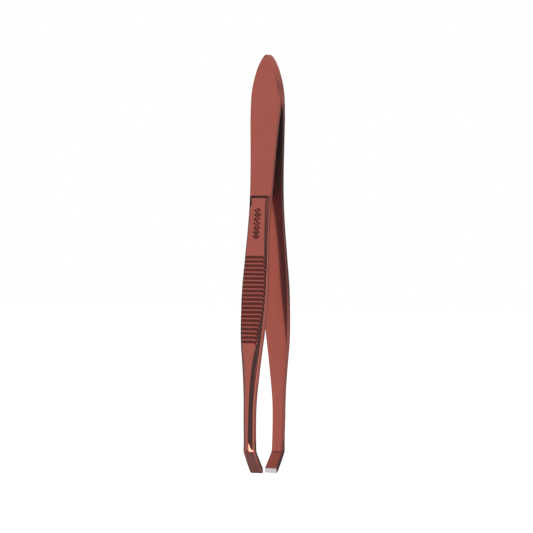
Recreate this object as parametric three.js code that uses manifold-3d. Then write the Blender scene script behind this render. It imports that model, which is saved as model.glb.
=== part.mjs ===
// Claw-tip tweezers: two coated spring-steel blades, spot welded together at their pointed head.
// Millimetres, +Z up. The tips stand on z = 0, the head points up, the blades open along X and are wide along Y.
// A blade is described for the side it stands on: "out" is the distance from the middle plane x = 0.
import * as THREE from 'three';
import { mergeVertices } from 'three/addons/utils/BufferGeometryUtils.js';
import Module from 'manifold-3d';

// ---------------------------------------------------------------- driving dimensions
const LENGTH = 95;              // tip edge to head point
const APEX_WIDTH = 0.3;         // flat left on the pointed head
const SHOULDER_Z = 83.5;        // widest place of the head, where its pointed arch begins
const HEAD_WIDTH = 9.14;
const HEAD_THICKNESS = 0.96;    // one blade's head plate
const SPRING_THICKNESS = 0.65;  // one blade, between the head and the step
const PLATES_MEET_Z = 84.6;     // above it the two head plates lie flat on each other

const FLEX_Z = 69.3;            // height at which a bending blade turns as if it had a hinge
const FLEX_GAP = 0.3;           // clearance between the two halves of a blade at that height

const STEP_TOP_Z = 63.05;       // the step from the thin spring part up to the raised panel
const STEP_FOOT_Z = 62.3;
const GROOVE_COUNT = 21;
const GROOVE_PITCH = 0.959;
const FIRST_GROOVE_Z = 49;
const GROOVE_WIDTH = 0.68;
const GROOVE_DEPTH = 0.28;

const CLAW_SLOPE = 0.585;       // how far the claw leans inwards for each millimetre of height
const CREASE_Z = 4.9;           // inner corner of the claw's bend
const CREASE_OUT = 4.05;
const TIP_OUT = 2.2;            // half of the open mouth, at the tip edge
const TIP_THICKNESS = 0.23;
const TIP_CORNER = 0.4;         // rounding of the tip's two corners
const JAW_HEIGHT = 1.1;         // ground gripping face
const CLOSING_ANGLE = 1.8;      // degrees that each blade turns until the jaws meet

const WELD_RADIUS = 1.2;
const WELD_HALF_THICKNESS = 0.25;
const WELD_CLEARANCE = 0.1;
const WELD_HEIGHTS = { spot_weld_upper: 90.4, spot_weld_lower: 86.6 };

// Each profile is [height, size], from the tip upwards.
const BLADE_WIDTHS = [
  [0, 3.72], [2.5, 3.45], [6, 3.1], [10, 3.06], [14.5, 3.14], [18, 3.56], [22, 4.43], [27, 5.7],
  [31.1, 6.68], [34, 7.22], [37, 7.55], [41.5, 7.73], [46.1, 7.42], [50.6, 7], [55.2, 6.55], [59.5, 6.42],
  [64.3, 6.7], [68.8, 7.12], [73.3, 7.72], [77.9, 8.42], [81.5, 9], [SHOULDER_Z, HEAD_WIDTH],
];
const PANEL_WIDTHS = [
  [0, 0.9], [8, 0.95], [12, 1.05], [16, 1.2], [20, 1.5], [24, 2.3], [27.3, 3.45], [29.3, 4.5], [31, 5],
  [32.5, 5.5], [34.7, 6.3], [37, 6.8], [39.3, 7], [41.5, 7.05], [44, 6.85], [46.1, 6.55], [47.9, 6.2],
  [50.6, 5.7], [52.9, 5.3], [55.2, 5.05], [57.5, 4.75], [60.8, 4.4], [62, 4.5], [STEP_TOP_Z, 5], [LENGTH, 5],
];
const OPENINGS = [
  [CREASE_Z, CREASE_OUT], [8.4, 4.12], [12.5, 4.17], [16, 4.13], [20.7, 4], [26, 3.85], [31.1, 3.6],
  [37, 3.2], [41.5, 2.93], [46.1, 2.7], [50.6, 2.46], [55.2, 2.14], [60, 1.76], [64.3, 1.43], [68.8, 1.18],
  [73.3, 0.95], [77.9, 0.7], [81.5, 0.44], [83.6, 0.12], [PLATES_MEET_Z, 0], [LENGTH, 0],
];
const EDGE_THICKNESSES = [
  [0, 1.06], [20, 1.05], [27, 1], [35, 0.93], [41.5, 0.85], [46.1, 0.74], [52, 0.67], [60, SPRING_THICKNESS],
  [81.5, SPRING_THICKNESS], [83.5, 0.85], [85, HEAD_THICKNESS], [94.2, HEAD_THICKNESS], [94.6, 0.92],
  [94.85, 0.84], [LENGTH, 0.7],
];
const PANEL_RISES = [
  [0, 0.5], [14, 0.52], [22, 0.52], [31, 0.5], [34.7, 0.42], [38, 0.33], [47, 0.33], [51, 0.36],
  [STEP_FOOT_Z, 0.38], [STEP_TOP_Z, 0], [LENGTH, 0],
];
const WALL_RUNS = [
  [0, 0.85], [12, 0.85], [20, 0.85], [27, 0.9], [31, 0.85], [32.5, 0.72], [34.7, 0.5], [37, 0.33],
  [46, 0.3], [48, 0.3], [50, 0.2], [52, 0.15], [LENGTH, 0.15],
];
const WALL_SHARE = 0.7;         // part of the panel's rise that its steep wall takes

// ---------------------------------------------------------------- profiles along the blade
/** The value at a height, on a curve through the profile's points that never overshoots them. */
function along(profile, z) {
  const last = profile.length - 1;
  if (z <= profile[0][0]) return profile[0][1];
  if (z >= profile[last][0]) return profile[last][1];
  const i = profile.findIndex(([height]) => height > z) - 1;
  const rise = (k) => (profile[k + 1][1] - profile[k][1]) / (profile[k + 1][0] - profile[k][0]);
  const slope = (k) => {
    if (k === 0 || k === last) return 0;
    const below = rise(k - 1);
    const above = rise(k);
    return below * above <= 0 ? 0 : (2 * below * above) / (below + above);
  };
  const span = profile[i + 1][0] - profile[i][0];
  const t = (z - profile[i][0]) / span;
  const start = profile[i][1] * (1 + 2 * t) * (1 - t) ** 2 + slope(i) * span * t * (1 - t) ** 2;
  const end = profile[i + 1][1] * (3 - 2 * t) * t ** 2 - slope(i + 1) * span * t ** 2 * (1 - t);
  return start + end;
}

/** Half of the blade's width: a pointed arch above the shoulder, rounded corners at the tip. */
function halfWidth(z) {
  if (z > SHOULDER_Z) {
    const share = (z - SHOULDER_Z) / (LENGTH - SHOULDER_Z);
    return Math.max(HEAD_WIDTH * (1 - share ** 2) ** 0.79, APEX_WIDTH) / 2;
  }
  const cut = Math.max(0, TIP_CORNER - z);
  return along(BLADE_WIDTHS, z) / 2 - (TIP_CORNER - Math.sqrt(TIP_CORNER ** 2 - cut ** 2));
}

/** Distance of the blade's inner face from the middle plane, with the ground jaw at the tip. */
function innerFace(z) {
  if (z >= CREASE_Z) return along(OPENINGS, z);
  if (z <= JAW_HEIGHT) return TIP_OUT - z * Math.tan(THREE.MathUtils.degToRad(CLOSING_ANGLE));
  return THREE.MathUtils.mapLinear(z, JAW_HEIGHT, CREASE_Z, innerFace(JAW_HEIGHT), CREASE_OUT);
}

/** The claw's flat outer face cuts everything that stands further out. */
function clawFace(z) {
  return TIP_OUT + TIP_THICKNESS + CLAW_SLOPE * z;
}

function grooveDepth(z) {
  const nearest = Math.round((FIRST_GROOVE_Z - z) / GROOVE_PITCH);
  if (nearest < 0 || nearest >= GROOVE_COUNT) return 0;
  const off = Math.abs(FIRST_GROOVE_Z - nearest * GROOVE_PITCH - z);
  const flank = (GROOVE_WIDTH / 2 - off) / (GROOVE_WIDTH / 4);
  return GROOVE_DEPTH * THREE.MathUtils.clamp(flank, 0, 1);
}

/** One level section of a blade, as [out, y] corners in turn: inner face, edge, land, wall, panel and back. */
function section(z) {
  const inner = innerFace(z);
  const edge = inner + along(EDGE_THICKNESSES, z);
  const rise = along(PANEL_RISES, z);
  const half = halfWidth(z);
  const panelHalf = Math.min(along(PANEL_WIDTHS, z) / 2, half * 0.92);
  const footHalf = Math.min(panelHalf + along(WALL_RUNS, z), half * 0.985);
  const outer = [
    [edge, half],
    [edge + rise * (1 - WALL_SHARE), footHalf],
    [edge + rise - grooveDepth(z), panelHalf],
  ].map(([out, y]) => [Math.min(out, clawFace(z)), y]);
  const oneSide = [[inner, half], ...outer];
  return [...oneSide, ...oneSide.map(([out, y]) => [out, -y]).reverse()];
}

// ---------------------------------------------------------------- solids
/** Heights of the sections between low and high, close together only where the blade's shape changes. */
function stations(low, high) {
  const heights = new Set([low, high]);
  const spread = (from, to, step) => {
    const count = Math.round((to - from) / step);
    for (let i = 0; i <= count; i++) heights.add(from + ((to - from) * i) / count);
  };
  spread(0, TIP_CORNER, TIP_CORNER / 3);
  [JAW_HEIGHT, 3, CREASE_Z, 5.6, 6.6, 7.6].forEach((z) => heights.add(z));
  spread(9, 27, 2);
  spread(50.2, STEP_FOOT_Z, 2.3);
  spread(STEP_FOOT_Z, STEP_TOP_Z, STEP_TOP_Z - STEP_FOOT_Z);
  spread(65, 81.5, 2.8);
  [63.4, SHOULDER_Z, 84.1, 94.6, 94.85, LENGTH].forEach((z) => heights.add(z));
  spread(PLATES_MEET_Z, 94.2, 1.05);
  for (let i = 0; i < GROOVE_COUNT; i++) {
    const middle = FIRST_GROOVE_Z - i * GROOVE_PITCH;
    [-2, -1, 1, 2].forEach((k) => heights.add(middle + (k * GROOVE_WIDTH) / 4));
  }
  heights.add(28.2);
  return [...heights].filter((z) => z >= low && z <= high).sort((a, b) => a - b);
}

/** A closed body through level sections; side is -1 for the front blade and 1 for the rear one. */
function bladeGeometry(low, high, side) {
  const heights = stations(low, high);
  const rings = heights.map((z) => section(z).map(([out, y]) => [side * out, y, z]));
  const count = rings[0].length;
  const faces = [];
  for (let level = 0; level + 1 < rings.length; level++) {
    for (let k = 0; k < count; k++) {
      const next = (k + 1) % count;
      const [a, b] = [level * count + k, level * count + next];
      faces.push([a, b, b + count], [a, b + count, a + count]);
    }
  }
  const top = (rings.length - 1) * count;
  for (let k = 0; k < count / 2 - 1; k++) {
    const far = count - 1 - k;
    faces.push([k, far, far - 1], [k, far - 1, k + 1]);
    faces.push([top + k, top + far - 1, top + far], [top + k, top + k + 1, top + far - 1]);
  }
  const turned = side > 0 ? faces.map(([a, b, c]) => [a, c, b]) : faces;
  const geometry = new THREE.BufferGeometry();
  geometry.setAttribute('position', new THREE.Float32BufferAttribute(rings.flat(2), 3));
  geometry.setIndex(turned.flat());
  return geometry;
}

const wasm = await Module();
wasm.setup();

/** A closed three.js geometry as a manifold-3d solid. */
function solid(geometry) {
  const bare = geometry.clone();
  bare.deleteAttribute('normal');
  bare.deleteAttribute('uv');
  const merged = mergeVertices(bare, 1e-5);
  return new wasm.Manifold(new wasm.Mesh({
    numProp: 3,
    vertProperties: new Float32Array(merged.attributes.position.array),
    triVerts: new Uint32Array(merged.index.array),
  }));
}

function fromSolid(body) {
  const { vertProperties, triVerts } = body.getMesh();
  const geometry = new THREE.BufferGeometry();
  geometry.setAttribute('position', new THREE.BufferAttribute(vertProperties, 3));
  geometry.setIndex(new THREE.BufferAttribute(triVerts, 1));
  geometry.computeVertexNormals();
  return geometry;
}

/** A disc on the middle plane, its flat sides facing the two blades. */
function disc(radius, halfThickness, z) {
  const edge = halfThickness * 0.5;
  const profile = [
    [0, -halfThickness], [radius - edge, -halfThickness], [radius, -edge],
    [radius, edge], [radius - edge, halfThickness], [0, halfThickness],
  ].map(([r, height]) => new THREE.Vector2(r, height));
  return new THREE.LatheGeometry(profile, 24).rotateZ(Math.PI / 2).translate(0, 0, z);
}

/** The upper half of a blade, with a shallow pocket in its inner face for each weld. */
function headGeometry(side) {
  let body = solid(bladeGeometry(FLEX_Z + FLEX_GAP / 2, LENGTH, side));
  for (const z of Object.values(WELD_HEIGHTS)) {
    const pocket = disc(WELD_RADIUS + WELD_CLEARANCE, WELD_HALF_THICKNESS + WELD_CLEARANCE, z);
    body = body.subtract(solid(pocket));
  }
  return fromSolid(body);
}

function armGeometry(side) {
  return bladeGeometry(0, FLEX_Z - FLEX_GAP / 2, side);
}

// ---------------------------------------------------------------- the assembly
const coatedSteel = () => new THREE.MeshStandardMaterial({ color: 0xa35a4d, roughness: 0.2, metalness: 1 });
const weldSteel = () => new THREE.MeshStandardMaterial({ color: 0xb9b2b0, roughness: 0.5, metalness: 1 });

function named(name, geometry, material) {
  const mesh = new THREE.Mesh(geometry, material);
  mesh.name = name;
  return mesh;
}

const group = new THREE.Group();
for (const [label, side] of [['front', -1], ['rear', 1]]) {
  group.add(named(`${label}_blade_head`, headGeometry(side), coatedSteel()));
  group.add(named(`${label}_blade_arm`, armGeometry(side), coatedSteel()));
}
for (const [name, z] of Object.entries(WELD_HEIGHTS)) {
  group.add(named(name, disc(WELD_RADIUS, WELD_HALF_THICKNESS, z), weldSteel()));
}

export default group;
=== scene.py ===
"""Claw-tip tweezers: fine blades, materials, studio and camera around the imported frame.

The blades are described in millimetres as in the CAD part and built in metres. A blade is one strip of steel,
so it is one mesh that bends between the head and its own arm. Heights run from the tips (0) up to the head.
"""

import math

import bpy
import numpy as np
from mathutils import Matrix, Vector


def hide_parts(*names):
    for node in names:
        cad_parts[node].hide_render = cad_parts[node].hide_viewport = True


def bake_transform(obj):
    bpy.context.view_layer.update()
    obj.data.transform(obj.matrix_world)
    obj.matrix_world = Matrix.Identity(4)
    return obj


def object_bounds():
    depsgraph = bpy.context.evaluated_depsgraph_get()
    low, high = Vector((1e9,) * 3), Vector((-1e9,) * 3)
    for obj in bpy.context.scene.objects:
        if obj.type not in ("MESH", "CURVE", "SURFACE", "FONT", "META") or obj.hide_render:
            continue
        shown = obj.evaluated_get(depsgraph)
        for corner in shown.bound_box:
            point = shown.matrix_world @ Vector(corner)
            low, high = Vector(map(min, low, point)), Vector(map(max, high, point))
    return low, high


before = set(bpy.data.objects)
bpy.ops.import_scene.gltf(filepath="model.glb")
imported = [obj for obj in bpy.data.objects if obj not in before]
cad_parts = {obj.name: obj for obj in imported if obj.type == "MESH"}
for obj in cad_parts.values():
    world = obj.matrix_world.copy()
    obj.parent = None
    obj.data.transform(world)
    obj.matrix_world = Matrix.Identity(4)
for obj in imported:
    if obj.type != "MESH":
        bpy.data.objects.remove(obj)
CAD_LOW, CAD_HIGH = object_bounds()
MM = 0.001

# ------------------------------------------------------------------ driving dimensions, in millimetres
LENGTH = round((CAD_HIGH.z - CAD_LOW.z) / MM, 3)
HEAD_WIDTH = round((CAD_HIGH.y - CAD_LOW.y) / MM, 3)
HEAD_ARCH = 0.79
APEX_WIDTH = 0.12
SHOULDER_Z = 83.5
STEP_TOP_Z = 63.05
STEP_FOOT_Z = 62.3
GROOVE_COUNT = 21
GROOVE_PITCH = 0.959
FIRST_GROOVE_Z = 49.0
GROOVE_WIDTH = 0.68
GROOVE_DEPTH = 0.42
GROOVE_SHARPNESS = 1.2
GROOVE_DROOP = 0.5
GROOVE_DROOP_RUN = 0.55
GROOVE_DROOP_MOST = 1.3
CLAW_SLOPE = 0.585
CREASE_Z = 4.9
CREASE_OUT = 4.05
TIP_OUT = 2.2
TIP_THICKNESS = 0.23
TIP_CORNER = 0.4
JAW_HEIGHT = 1.1
CLOSING_ANGLE = math.radians(1.8)
BEND_ROUNDING = 0.12
JAW_ROUNDING = 0.12
CREASE_ROUNDING = 0.2
SIDE_DRAFT = math.tan(math.radians(3.5))
ORNAMENT_Z = (53.2, 60.1)
ORNAMENT_COUNT = 7
ORNAMENT_HALF = 0.88
ORNAMENT_DEPTH = 0.3
ORNAMENT_LINE = 0.33
ORNAMENT_DOT = 0.16
ORNAMENT_FILL = 0.46

# The heel flat lies in a plane, given by its normal and a point as (out, y, height). It takes only the bevel,
# this margin away from the panel, and stays below its top height.
HEEL_NORMAL = (1, 0.23, -0.13)
HEEL_POINT = (5.38, 0.37, 5.1)
HEEL_TOP_Z = 12
HEEL_MARGIN = 0.06
HEEL_ROUNDING = 0.05

# Each profile is (height, size), from the tip upwards.
BLADE_WIDTHS = [
    (0, 3.72), (2.5, 3.45), (6, 3.1), (10, 3.06), (14.5, 3.14), (18, 3.56), (22, 4.43), (27, 5.7),
    (31.1, 6.68), (34, 7.22), (37, 7.55), (41.5, 7.73), (46.1, 7.42), (50.6, 7.0), (55.2, 6.55), (59.5, 6.42),
    (64.3, 6.7), (68.8, 7.12), (73.3, 7.72), (77.9, 8.42), (81.5, 9.0), (SHOULDER_Z, HEAD_WIDTH),
]
PANEL_WIDTHS = [
    (0, 0.6), (8, 0.75), (12, 1), (16, 1.2), (20, 1.5), (24, 2.3), (27.3, 3.45), (29.3, 4.5), (31, 5),
    (32.5, 5.5), (34.7, 6.5), (37, 7.1), (39.3, 7.3), (41.5, 7.3), (44, 7.1), (46.1, 6.7), (47.9, 6.2),
    (50.6, 5.7), (52.9, 5.3), (55.2, 5.05), (57.5, 4.75), (60.8, 4.4), (62, 4.5), (63, 5), (LENGTH, 5),
]
OPENINGS = [
    (CREASE_Z, CREASE_OUT), (8.4, 4.12), (12.5, 4.17), (16, 4.13), (20.7, 4), (26, 3.85), (31.1, 3.6),
    (37, 3.2), (41.5, 2.93), (46.1, 2.7), (50.6, 2.46), (55.2, 2.14), (60, 1.76), (64.3, 1.43), (68.8, 1.18),
    (73.3, 0.95), (77.9, 0.7), (81.5, 0.44), (83.6, 0.12), (84.6, 0), (LENGTH, 0),
]
EDGE_THICKNESSES = [
    (0, 1.06), (20, 1.05), (27, 1), (35, 0.93), (41.5, 0.85), (46.1, 0.74), (52, 0.67), (60, 0.65),
    (81.5, 0.65), (83.5, 0.85), (85, 0.96), (94.2, 0.96), (94.6, 0.92), (94.85, 0.84), (LENGTH, 0.7),
]
PANEL_RISES = [
    (0, 0.5), (14, 0.52), (22, 0.52), (31, 0.5), (34.7, 0.38), (38, 0.25), (47, 0.26), (51, 0.36),
    (STEP_FOOT_Z, 0.38), (STEP_TOP_Z, 0), (LENGTH, 0),
]
WALL_RUNS = [
    (0, 0.9), (12, 0.9), (20, 0.85), (27, 1), (31, 1.1), (32.5, 1), (34.7, 0.6), (37, 0.36), (46, 0.3),
    (48, 0.3), (50, 0.2), (52, 0.15), (LENGTH, 0.15),
]
WALL_SHARES = [
    (0, 0.85), (20, 0.85), (27, 0.85), (33, 0.85), (37, 0.8), (46, 0.7), (51, 0.47), (LENGTH, 0.47),
]
INNER_ROUNDINGS = [(0, 0.05), (2, 0.12), (58, 0.12), (64, 0.04), (80, 0.04), (84.5, 0.18), (LENGTH, 0.18)]
EDGE_ROUNDINGS = [
    (0, 0.03), (5, 0.03), (8, 0.22), (24, 0.22), (30, 0.03), (43, 0.03), (50, 0.08), (63.5, 0.08), (80, 0.12),
    (86, 0.16), (LENGTH, 0.16),
]
PANEL_ROUNDINGS = [(0, 0.1), (28, 0.1), (30, 0.14), (49.6, 0.14), (50.5, 0.08), (LENGTH, 0.08)]
FOOT_ROUNDING = 0.03

# Largest shares of the blade's half width that the panel, the bevel's foot and the heel's edge take.
PANEL_LIMIT = 0.98
FOOT_LIMIT = 0.992
HEEL_LIMIT = 0.9

# A point this much further out than the inner face is on the blade's outside.
HEEL_OUTSIDE = 0.3
PANEL_OUTSIDE = 0.5

# The engraving fades out before the blade's +Y edge and just past the panel's -Y edge.
EDGE_MARGIN = 0.03
EDGE_FADE = 0.2
WALL_REACH = 0.2
WALL_FADE = 0.3

# The largest share of a side that a rounded corner takes from it.
ROUNDING_LIMIT = 0.48

# Points on each rounded corner, inside each straight slope and across the panel.
INNER_POINTS = 6
EDGE_POINTS = 7
FOOT_POINTS = 3
PANEL_POINTS = 7
BEVEL_POINTS = 3
WALL_POINTS = 7
PANEL_COLUMNS = 36

# Sections closer together than this are left out, and edges sharper than this angle are shaded as edges.
CLOSEST_STATIONS = 0.008
SHARP_ANGLE = math.radians(38)

# Bare steel reaches this far past the jaw's height, on faces that look inwards at least this much.
JAW_MARGIN = 0.02
JAW_FACING = 0.6


# ------------------------------------------------------------------ profiles along the blade
def along(profile, z):
    """The sizes at heights z, on a curve through the profile's points that never overshoots them."""
    heights, sizes = (np.array(column, float) for column in zip(*profile))
    rises = np.diff(sizes) / np.diff(heights)
    below, above = rises[:-1], rises[1:]
    same_way = below * above > 0
    slopes = np.zeros(len(sizes))
    slopes[1:-1][same_way] = (2 * below * above)[same_way] / (below + above)[same_way]
    z = np.clip(z, heights[0], heights[-1])
    i = np.clip(np.searchsorted(heights, z, side="right") - 1, 0, len(rises) - 1)
    span = np.diff(heights)[i]
    t = (z - heights[i]) / span
    start = sizes[i] * (1 + 2 * t) * (1 - t) ** 2 + slopes[i] * span * t * (1 - t) ** 2
    end = sizes[i + 1] * (3 - 2 * t) * t ** 2 - slopes[i + 1] * span * t ** 2 * (1 - t)
    return start + end


def half_width(z):
    """Half of the blade's width: a pointed arch above the shoulder, rounded corners at the tip."""
    share = np.clip((z - SHOULDER_Z) / (LENGTH - SHOULDER_Z), 0, 1)
    arch = np.maximum(HEAD_WIDTH * (1 - share ** 2) ** HEAD_ARCH, APEX_WIDTH) / 2
    cut = np.maximum(TIP_CORNER - z, 0)
    strip = along(BLADE_WIDTHS, z) / 2 - (TIP_CORNER - np.sqrt(TIP_CORNER ** 2 - cut ** 2))
    return np.where(z > SHOULDER_Z, arch, strip)


def inner_face(z):
    """Distance of the blade's inner face from the middle plane, with the ground jaw at the tip."""
    jaw = TIP_OUT - z * math.tan(CLOSING_ANGLE)
    jaw_top = TIP_OUT - JAW_HEIGHT * math.tan(CLOSING_ANGLE)
    claw = jaw_top + (z - JAW_HEIGHT) * (CREASE_OUT - jaw_top) / (CREASE_Z - JAW_HEIGHT)
    tip = -softer_min(-jaw, -claw, JAW_ROUNDING)
    return softer_min(tip, along(OPENINGS, z), CREASE_ROUNDING)


def softer_min(a, b, rounding):
    """The smaller of a and b, rounded over where they meet."""
    near = np.maximum(rounding - np.abs(a - b), 0) / rounding
    return np.minimum(a, b) - near ** 2 * rounding / 4


def groove_depth(y, z, panel_half):
    """V grooves with rounded ridges between them; they droop towards the panel's -Y edge."""
    near_edge = np.clip((-y - panel_half) / GROOVE_DROOP_RUN + 1, 0, GROOVE_DROOP_MOST)
    z = z + GROOVE_DROOP * near_edge ** 2
    nearest = np.clip(np.round((FIRST_GROOVE_Z - z) / GROOVE_PITCH), 0, GROOVE_COUNT - 1)
    off = np.abs(FIRST_GROOVE_Z - nearest * GROOVE_PITCH - z)
    share = np.clip(1 - off / (GROOVE_WIDTH / 2), 0, 1)
    return GROOVE_DEPTH * share ** GROOVE_SHARPNESS


def ornament_depth(y, z):
    """A row of engraved lozenges, each with a dot in its middle."""
    low, high = ORNAMENT_Z
    pitch = (high - low) / ORNAMENT_COUNT
    half_height = pitch * ORNAMENT_FILL
    place = np.clip(np.floor((z - low) / pitch), 0, ORNAMENT_COUNT - 1)
    up = np.abs(z - low - (place + 0.5) * pitch) / half_height
    across = np.abs(y) / ORNAMENT_HALF
    line = 1 - np.abs(up + across - 1) * ORNAMENT_HALF / ORNAMENT_LINE
    dot = 1 - np.hypot(up * half_height, across * ORNAMENT_HALF) / ORNAMENT_DOT
    return ORNAMENT_DEPTH * np.clip(np.maximum(line, dot), 0, 1)


# ------------------------------------------------------------------ the blade's mesh
def stations():
    """Heights of the level sections, close together where the blade's shape changes fast."""
    stretches = [
        (0, 0.5, 0.04), (0.5, 0.8, 0.1), (0.8, 1.4, 0.03), (1.4, 4.2, 0.2), (4.2, 8, 0.06), (8, 28, 0.5),
        (28, FIRST_GROOVE_Z + 0.7, GROOVE_PITCH / 14), (49.8, ORNAMENT_Z[0] - 0.1, 0.15),
        (ORNAMENT_Z[0] - 0.1, ORNAMENT_Z[1] + 0.1, 0.05), (ORNAMENT_Z[1] + 0.1, 64, 0.06),
        (64, SHOULDER_Z, 0.6), (SHOULDER_Z, LENGTH - 1, 0.25), (LENGTH - 1, LENGTH, 0.05),
    ]
    heights = [np.arange(low, high, step) for low, high, step in stretches]
    heights.append(np.array([LENGTH - 0.02, LENGTH]))
    heights = np.unique(np.round(np.concatenate(heights), 4))
    return heights[np.concatenate([[True], np.diff(heights) > CLOSEST_STATIONS])]


def fillet(before, corner, after, size, steps):
    """Points of a rounded corner, as (out, y) pairs, for every height at once."""
    def towards(target):
        reach = target - corner
        length = np.linalg.norm(reach, axis=-1, keepdims=True)
        return corner + reach / np.maximum(length, 1e-6) * np.minimum(size[:, None], length * ROUNDING_LIMIT)

    a, b = towards(before), towards(after)
    return [(1 - t) ** 2 * a + 2 * t * (1 - t) * corner + t ** 2 * b for t in np.linspace(0, 1, steps)]


def half_ring(z, edge, panel, rise):
    """One half of the section's outline for y above 0, from the inner face round to the panel's edge."""
    inner, half = inner_face(z), half_width(z)
    panel_half = np.minimum(panel / 2, half * PANEL_LIMIT)
    foot_half = np.minimum(panel_half + along(WALL_RUNS, z), half * FOOT_LIMIT)
    corners = {
        "inner middle": (inner, half * 0.5),
        "inner corner": (inner, half + (edge - inner) * SIDE_DRAFT),
        "side": ((inner + edge) / 2, half + (edge - inner) * SIDE_DRAFT / 2),
        "edge": (edge, half),
        "foot": (edge + rise * (1 - along(WALL_SHARES, z)), foot_half),
        "panel corner": (edge + rise, panel_half),
        "panel": (edge + rise, panel_half * 0.2),
    }
    p = {name: np.stack(np.broadcast_arrays(*pair), axis=-1) for name, pair in corners.items()}
    inner_sizes, edge_sizes = along(INNER_ROUNDINGS, z), along(EDGE_ROUNDINGS, z)
    foot_sizes, panel_sizes = np.full(len(z), FOOT_ROUNDING), along(PANEL_ROUNDINGS, z)
    inner_corner = fillet(p["inner middle"], p["inner corner"], p["side"], inner_sizes, INNER_POINTS)
    edge_corner = fillet(p["side"], p["edge"], p["foot"], edge_sizes, EDGE_POINTS)
    foot = fillet(p["edge"], p["foot"], p["panel corner"], foot_sizes, FOOT_POINTS)
    panel_corner = fillet(p["foot"], p["panel corner"], p["panel"], panel_sizes, PANEL_POINTS)
    bevel = between(edge_corner[-1], foot[0], BEVEL_POINTS)
    wall = between(foot[-1], panel_corner[0], WALL_POINTS)
    return [p["inner middle"], *inner_corner, p["side"], *edge_corner, *bevel, *foot, *wall, *panel_corner]


def between(start, end, count):
    """Evenly spaced points inside the straight line from start to end."""
    return [start + (end - start) * step / (count + 1) for step in range(1, count + 1)]


def heel_face(y, z):
    """The small flat that takes off the corner between bevel and claw, on both edges."""
    across, sideways, upwards = HEEL_NORMAL
    offset = np.dot(HEEL_NORMAL, HEEL_POINT)
    return (offset - sideways * np.abs(y) - upwards * z) / across


def with_heel(half, z, panel):
    """The half sections with the heel flat cut off their bevels, near the claw."""
    out, y = half[..., 0], half[..., 1]
    panel_edge = np.minimum(panel / 2, half_width(z) * HEEL_LIMIT)[:, None]
    on_bevel = (y > panel_edge + HEEL_MARGIN) & (out > inner_face(z)[:, None] + HEEL_OUTSIDE)
    near_claw = z[:, None] < HEEL_TOP_Z
    cut = softer_min(out, heel_face(y, z[:, None]), HEEL_ROUNDING)
    return np.stack([np.where(on_bevel & near_claw, cut, out), y], axis=-1)


def sections(z):
    """Every level section as an array [height, point, (out, y)], without the engraving."""
    thickness, rise, panel = along(EDGE_THICKNESSES, z), along(PANEL_RISES, z), along(PANEL_WIDTHS, z)
    shank = np.stack(half_ring(z, inner_face(z) + thickness, panel, rise), axis=1)
    claw_face = TIP_OUT + TIP_THICKNESS + CLAW_SLOPE * z
    claw = np.stack(half_ring(z, claw_face, panel, np.zeros(len(z))), axis=1)
    half = shank.copy()
    half[..., 0] = softer_min(shank[..., 0], claw[..., 0], BEND_ROUNDING)
    half = with_heel(half, z, panel)
    last = half[:, -1]
    across = np.linspace(1, -1, PANEL_COLUMNS + 2)[1:-1]
    panel_points = np.stack([np.repeat(last[:, :1], PANEL_COLUMNS, 1), last[:, 1:] * across], axis=-1)
    mirrored = half[:, ::-1] * np.array([1, -1])
    return np.concatenate([half, panel_points, mirrored], axis=1)


def engraved(rings, z):
    """The grooves and the ornament, pressed into the raised panel."""
    out, y = rings[..., 0], rings[..., 1]
    inner = inner_face(z)[:, None]
    panel_half = along(PANEL_WIDTHS, z)[:, None] / 2
    from_edge = half_width(z)[:, None] - EDGE_MARGIN - y
    from_wall = panel_half + WALL_REACH + y
    fade = np.clip(np.minimum(from_edge / EDGE_FADE, from_wall / WALL_FADE), 0, 1)
    on_panel = (out > inner + PANEL_OUTSIDE) * fade
    grooves = groove_depth(y, z[:, None], panel_half) * on_panel
    marks = ornament_depth(y, z[:, None]) * on_panel
    rings = rings.copy()
    rings[..., 0] = out - grooves - marks
    return rings


def blade_mesh(name, side):
    """A closed mesh through the sections; side is -1 for the front blade and 1 for the rear one."""
    z = stations()
    rings = engraved(sections(z), z)
    levels, count = rings.shape[:2]
    points = np.empty((levels, count, 3))
    points[..., 0] = side * rings[..., 0]
    points[..., 1] = rings[..., 1]
    points[..., 2] = z[:, None]
    start = np.arange(levels - 1)[:, None] * count
    around = np.arange(count)
    this = (start + around).ravel()
    following = (start + (around + 1) % count).ravel()
    quads = np.stack([this, following, following + count, this + count], axis=1)
    bottom = list(range(count))
    top = [(levels - 1) * count + i for i in range(count)]
    faces = quads[:, ::-side].tolist() + [bottom[::side], top[::-side]]
    mesh = bpy.data.meshes.new(name)
    mesh.from_pydata((points.reshape(-1, 3) * MM).tolist(), [], faces)
    mesh.validate()
    mesh.polygons.foreach_set("use_smooth", np.ones(len(mesh.polygons), bool))
    mesh.set_sharp_from_angle(angle=SHARP_ANGLE)
    return mesh


def mark_jaw(mesh, side):
    """The ground jaw is bare steel: faces of the tip that look at the other blade."""
    for polygon in mesh.polygons:
        low = polygon.center.z < (JAW_HEIGHT + JAW_MARGIN) * MM
        if low and polygon.normal.x * side < -JAW_FACING:
            polygon.material_index = 1


# ------------------------------------------------------------------ materials
RELIEF_DEPTH = 0.00001
COAT_LIGHTER = (0.378, 0.076, 0.050)
COAT_DARKER = (0.352, 0.068, 0.043)
FILM_COLOUR = (0.62, 0.55, 0.56)
FILM_SHARE = 0.07
STEEL_DARKER = (0.70, 0.62, 0.65)
STEEL_LIGHTER = (0.82, 0.76, 0.78)


def new_material(name):
    """A node material, with its nodes, links and main shader."""
    material = bpy.data.materials.new(name)
    material.use_nodes = True
    nodes, links = material.node_tree.nodes, material.node_tree.links
    return material, nodes, links, nodes["Principled BSDF"]


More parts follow.
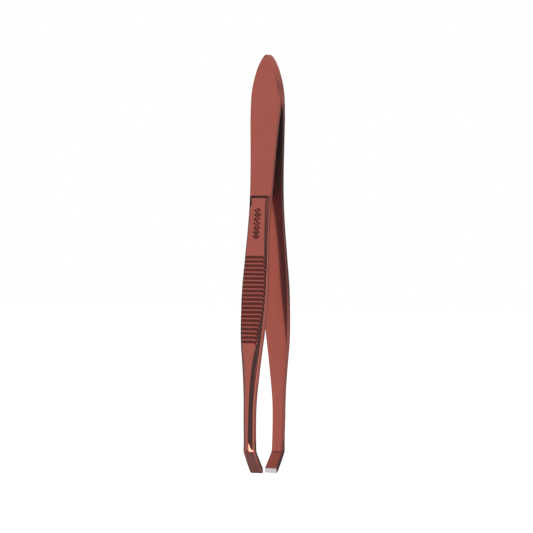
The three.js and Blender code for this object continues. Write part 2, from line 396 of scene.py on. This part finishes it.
def noise(nodes, links, scale, stretch=(1, 1, 1), detail=4.0):
    """Noise in object space, in metres; scale is in grains per metre, stretch lengthens the grains."""
    place = nodes.new("ShaderNodeTexCoord")
    mapping = nodes.new("ShaderNodeMapping")
    mapping.inputs["Scale"].default_value = [1 / s for s in stretch]
    texture = nodes.new("ShaderNodeTexNoise")
    texture.inputs["Scale"].default_value = scale
    texture.inputs["Detail"].default_value = detail
    links.new(place.outputs["Object"], mapping.inputs["Vector"])
    links.new(mapping.outputs["Vector"], texture.inputs["Vector"])
    return texture.outputs["Fac"]


def ranged(nodes, links, value, low, high):
    """Noise around 0.5 spread over low to high."""
    spread = nodes.new("ShaderNodeMapRange")
    spread.inputs["From Min"].default_value = 0.3
    spread.inputs["From Max"].default_value = 0.7
    spread.inputs["To Min"].default_value = low
    spread.inputs["To Max"].default_value = high
    links.new(value, spread.inputs["Value"])
    return spread.outputs["Result"]


def mixed(nodes, links, share, first, second):
    """A colour between the first, at share 0, and the second, at share 1."""
    mix = nodes.new("ShaderNodeMix")
    mix.data_type = "RGBA"
    mix.inputs["A"].default_value = (*first, 1)
    mix.inputs["B"].default_value = (*second, 1)
    links.new(share, mix.inputs["Factor"])
    return mix.outputs["Result"]


def relief(nodes, links, shader, height, strength):
    """Fine relief in the shader's surface, RELIEF_DEPTH metres deep at strength 1."""
    bump = nodes.new("ShaderNodeBump")
    bump.inputs["Strength"].default_value = strength
    bump.inputs["Distance"].default_value = RELIEF_DEPTH
    links.new(height, bump.inputs["Height"])
    links.new(bump.outputs["Normal"], shader.inputs["Normal"])


def coated_steel():
    """Copper-brown metallic film over polished steel: cloudy tint, faint lengthwise polish lines."""
    material, nodes, links, shader = new_material("coated_steel")
    clouds = ranged(nodes, links, noise(nodes, links, 260, (1, 1, 3)), 0, 1)
    links.new(mixed(nodes, links, clouds, COAT_LIGHTER, COAT_DARKER), shader.inputs["Base Color"])
    shader.inputs["Metallic"].default_value = 1
    shader.inputs["Coat Weight"].default_value = 0.12
    shader.inputs["Coat Roughness"].default_value = 0.4
    polish = noise(nodes, links, 9000, (1, 1, 30), 3)
    links.new(ranged(nodes, links, polish, 0.10, 0.17), shader.inputs["Roughness"])
    relief(nodes, links, shader, polish, 0.05)
    film = nodes.new("ShaderNodeBsdfDiffuse")
    film.inputs["Color"].default_value = (*FILM_COLOUR, 1)
    mix = nodes.new("ShaderNodeMixShader")
    mix.inputs["Fac"].default_value = FILM_SHARE
    links.new(shader.outputs["BSDF"], mix.inputs[1])
    links.new(film.outputs["BSDF"], mix.inputs[2])
    links.new(mix.outputs["Shader"], nodes["Material Output"].inputs["Surface"])
    return material


def bare_steel():
    """Ground steel with fine scratches across the jaw."""
    material, nodes, links, shader = new_material("bare_steel")
    scratches = noise(nodes, links, 16000, (1, 25, 1), 2)
    links.new(mixed(nodes, links, scratches, STEEL_DARKER, STEEL_LIGHTER), shader.inputs["Base Color"])
    shader.inputs["Metallic"].default_value = 1
    links.new(ranged(nodes, links, scratches, 0.32, 0.5), shader.inputs["Roughness"])
    relief(nodes, links, shader, scratches, 0.3)
    return material


# ------------------------------------------------------------------ studio
# Sizes are in metres. The light's angles are in degrees, from the camera's side round or from level up.
# The tent's stops are (angle, brightness). Card shades run over heights up to CARD_SHADES_TOP millimetres.
CAMERA_AZIMUTH = math.radians(-135)
CAMERA_DISTANCE = 2.0
CAMERA_LEAN = math.radians(0.62)
CAMERA_SHIFT = 0.00009
VIEW_HEIGHT = 0.1210
VIEW_MIDDLE = 0.0469
FLOOR_HALF = 6.0
TENT_STRENGTH = 2.0
TENT_AROUND = [
    (-180, 0.15), (-135, 0.13), (-112, 0.4), (-100, 0.51), (-79, 0.5), (-70, 0.34), (-58, 0.12), (-40, 0.04),
    (-8, 0.04), (22, 0.35), (35, 1), (62, 1), (80, 0.5), (110, 0.3), (180, 0.15),
]
TENT_UPWARDS = [
    (-90, 0.15), (-60, 0.2), (-46, 0.12), (-39, 0.43), (-34, 0.43), (-22, 0.4), (-14, 0.95), (13, 1),
    (18, 0.35), (24, 0.18), (28, 0.35), (32, 0.75), (36, 0.75), (40, 0.3), (44, 0.1), (52, 0.12), (90, 0.2),
]
LOW_FILL = [(-36, 0), (-30, 0.3), (-15, 0.3), (-10, 0)]
LAMP_AZIMUTH = -63
LAMP_ELEVATION = -14.1
LAMP_RIM = 8.5
LAMP_CORE = 6.5
LAMP_STRENGTH = 12
CARD_COLUMNS = 18
CARD_SHADES_TOP = 120


def studio_floor():
    """A pale floor under the tips, lit from inside like a light table so that it stays white."""
    mesh = bpy.data.meshes.new("floor")
    corners = [(x * FLOOR_HALF, y * FLOOR_HALF, 0) for x, y in ((-1, -1), (1, -1), (1, 1), (-1, 1))]
    mesh.from_pydata(corners, [], [(0, 1, 2, 3)])
    floor = bpy.data.objects.new("floor", mesh)
    bpy.context.scene.collection.objects.link(floor)
    material, _, _, shader = new_material("pale_floor")
    shader.inputs["Base Color"].default_value = (0.8, 0.8, 0.8, 1)
    shader.inputs["Roughness"].default_value = 0.9
    shader.inputs["Emission Color"].default_value = (1, 1, 1, 1)
    shader.inputs["Emission Strength"].default_value = 1
    mesh.materials.append(material)
    floor.visible_glossy = False


def ramp(nodes, links, value, span, stops):
    """Brightness along a value that runs from 0 to 1 over the span; stops are (place, brightness)."""
    low, high = span
    node = nodes.new("ShaderNodeValToRGB")
    elements = node.color_ramp.elements
    while len(elements) < len(stops):
        elements.new(0.5)
    for element, (place, brightness) in zip(elements, stops):
        element.position = (place - low) / (high - low)
        element.color = (brightness, brightness, brightness, 1)
    links.new(value, node.inputs["Fac"])
    return node.outputs["Color"]


def maths(nodes, links, operation, *values):
    """A maths node; each value is a number or another node's output."""
    node = nodes.new("ShaderNodeMath")
    node.operation = operation
    for socket, value in zip(node.inputs, values):
        if isinstance(value, (int, float)):
            socket.default_value = value
        else:
            links.new(value, socket)
    return node.outputs["Value"]


def aim(azimuth, elevation):
    """The direction at these angles, in degrees."""
    around, up = math.radians(azimuth), math.radians(elevation)
    return (math.cos(up) * math.cos(around), math.cos(up) * math.sin(around), math.sin(up))


def tent_light(nodes, links, direction):
    """Soft white surroundings with darker gaps, as a tent of cards gives."""
    split = nodes.new("ShaderNodeSeparateXYZ")
    links.new(direction, split.inputs["Vector"])
    angle = maths(nodes, links, "ARCTAN2", split.outputs["Y"], split.outputs["X"])
    around = maths(nodes, links, "MULTIPLY_ADD", angle, 1 / (2 * math.pi), 0.5)
    height = maths(nodes, links, "ARCSINE", split.outputs["Z"])
    upwards = maths(nodes, links, "MULTIPLY_ADD", height, 1 / math.pi, 0.5)
    ring = ramp(nodes, links, around, (-180, 180), TENT_AROUND)
    band = ramp(nodes, links, upwards, (-90, 90), TENT_UPWARDS)
    low_fill = ramp(nodes, links, upwards, (-90, 90), LOW_FILL)
    product = maths(nodes, links, "MULTIPLY", ring, band)
    light = maths(nodes, links, "MULTIPLY", product, TENT_STRENGTH)
    return maths(nodes, links, "ADD", light, low_fill)


def lamp_light(nodes, links, direction):
    """A small bright lamp with a soft rim, for the glint on the heel flat."""
    towards = nodes.new("ShaderNodeVectorMath")
    towards.operation = "DOT_PRODUCT"
    towards.inputs[1].default_value = aim(LAMP_AZIMUTH, LAMP_ELEVATION)
    links.new(direction, towards.inputs[0])
    glow = nodes.new("ShaderNodeMapRange")
    glow.interpolation_type = "SMOOTHSTEP"
    glow.inputs["From Min"].default_value = math.cos(math.radians(LAMP_RIM))
    glow.inputs["From Max"].default_value = math.cos(math.radians(LAMP_CORE))
    glow.inputs["To Max"].default_value = LAMP_STRENGTH
    links.new(towards.outputs["Value"], glow.inputs["Value"])
    return glow.outputs["Result"]


def studio_light(camera_azimuth):
    """The world's light: tent and lamp for the object, plain white for the background."""
    world = bpy.data.worlds.new("studio")
    bpy.context.scene.world = world
    world.use_nodes = True
    nodes, links = world.node_tree.nodes, world.node_tree.links
    place = nodes.new("ShaderNodeTexCoord")
    turn = nodes.new("ShaderNodeVectorRotate")
    turn.rotation_type = "Z_AXIS"
    turn.inputs["Angle"].default_value = -camera_azimuth
    links.new(place.outputs["Generated"], turn.inputs["Vector"])
    tent = tent_light(nodes, links, turn.outputs["Vector"])
    lamp = lamp_light(nodes, links, turn.outputs["Vector"])
    path = nodes.new("ShaderNodeLightPath")
    choose = nodes.new("ShaderNodeMix")
    choose.data_type = "RGBA"
    choose.inputs["B"].default_value = (1, 1, 1, 1)
    links.new(path.outputs["Is Camera Ray"], choose.inputs["Factor"])
    links.new(maths(nodes, links, "ADD", tent, lamp), choose.inputs["A"])
    links.new(choose.outputs["Result"], nodes["Background"].inputs["Color"])


def card_mesh(name, radius, angles, heights):
    """An upright strip curved about the Z axis, between two angles and two heights."""
    around = np.radians(np.linspace(*angles, CARD_COLUMNS))
    rows = [(radius * math.cos(a), radius * math.sin(a), z) for z in heights for a in around]
    faces = [(i, i + 1, CARD_COLUMNS + i + 1, CARD_COLUMNS + i) for i in range(CARD_COLUMNS - 1)]
    mesh = bpy.data.meshes.new(name)
    mesh.from_pydata(rows, [], faces)
    return mesh


def card_material(name, shades):
    """Light given off by a card; shades are (height in millimetres, brightness)."""
    material, nodes, links, shader = new_material(name)
    nodes.remove(shader)
    place = nodes.new("ShaderNodeTexCoord")
    split = nodes.new("ShaderNodeSeparateXYZ")
    links.new(place.outputs["Object"], split.inputs["Vector"])
    height = nodes.new("ShaderNodeMapRange")
    height.inputs["From Max"].default_value = CARD_SHADES_TOP * MM
    links.new(split.outputs["Z"], height.inputs["Value"])
    brightness = ramp(nodes, links, height.outputs["Result"], (0, CARD_SHADES_TOP), shades)
    emission = nodes.new("ShaderNodeEmission")
    links.new(brightness, emission.inputs["Color"])
    links.new(emission.outputs["Emission"], nodes["Material Output"].inputs["Surface"])
    return material


def reflection_card(name, radius, angles, heights, shades):
    """A card curved round the blades, seen only in reflections."""
    mesh = card_mesh(name, radius, angles, heights)
    card = bpy.data.objects.new(name, mesh)
    bpy.context.scene.collection.objects.link(card)
    card.visible_camera = False
    card.visible_shadow = False
    mesh.materials.append(card_material(name, shades))


def studio_cards():
    """Cards that shade the front blade's edge, the rear blade's edge and the gap between the springs."""
    tall = (-30 * MM, 220 * MM)
    reflection_card("front_edge_card", 20 * MM, (-66, -53), tall, [
        (0, 0), (6.2, 0), (7.6, 0.5), (24, 0.56), (28, 0.52), (31, 0.42), (37, 0.5), (44, 0.5), (50, 0.42),
        (80, 0.4), (84, 0.45), (87, 0.6), (96, 0.6), (104, 1), (120, 1),
    ])
    reflection_card("rear_edge_card", 20 * MM, (-53, 30), tall, [
        (0, 0.08), (5, 0.08), (8, 0.6), (25, 0.6), (34, 0.55), (37, 0.45), (40, 0.28), (44, 0.2), (55, 0.14),
        (62, 0.04), (80, 0.04), (83, 0.07), (86, 0.5), (96, 0.6), (104, 1), (120, 1),
    ])
    reflection_card("gap_card", 9 * MM, (60, 121.5), (61 * MM, 75 * MM), [(0, 0), (120, 0)])


def studio_camera(azimuth):
    """A very long lens, level with the middle of the tweezers, turned a little about its own axis."""
    towards = Vector((math.cos(azimuth), math.sin(azimuth), 0))
    right = Vector((-math.sin(azimuth), math.cos(azimuth), 0))
    up = Vector((0, 0, 1))
    data = bpy.data.cameras.new("camera")
    data.lens = data.sensor_width * CAMERA_DISTANCE / VIEW_HEIGHT
    data.clip_start = 0.1
    data.clip_end = 20
    camera = bpy.data.objects.new("camera", data)
    bpy.context.scene.collection.objects.link(camera)
    leaning_right = right * math.cos(CAMERA_LEAN) + up * math.sin(CAMERA_LEAN)
    leaning_up = up * math.cos(CAMERA_LEAN) - right * math.sin(CAMERA_LEAN)
    axes = Matrix((leaning_right, leaning_up, towards)).transposed().to_4x4()
    place = towards * CAMERA_DISTANCE + up * VIEW_MIDDLE + right * CAMERA_SHIFT
    camera.matrix_world = Matrix.Translation(place) @ axes
    bpy.context.scene.camera = camera
    bpy.context.scene.view_settings.view_transform = "Standard"


# ------------------------------------------------------------------ the object
def make_blade(name, side, cad_nodes, materials):
    """One blade that bends between the head and its arm; its second material is the jaw's."""
    blade = bpy.data.objects.new(name, blade_mesh(name, side))
    bpy.context.scene.collection.objects.link(blade)
    for material in materials:
        blade.data.materials.append(material)
    mark_jaw(blade.data, side)
    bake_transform(blade)
    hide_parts(*cad_nodes)


coated = coated_steel()
bare = bare_steel()
make_blade("front_blade", -1, ["front_blade_head", "front_blade_arm"], [coated, bare])
make_blade("rear_blade", 1, ["rear_blade_head", "rear_blade_arm"], [coated, bare])
for weld in ("spot_weld_upper", "spot_weld_lower"):
    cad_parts[weld].data.materials.clear()
    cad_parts[weld].data.materials.append(bare)

studio_floor()
studio_light(CAMERA_AZIMUTH)
studio_cards()
studio_camera(CAMERA_AZIMUTH)
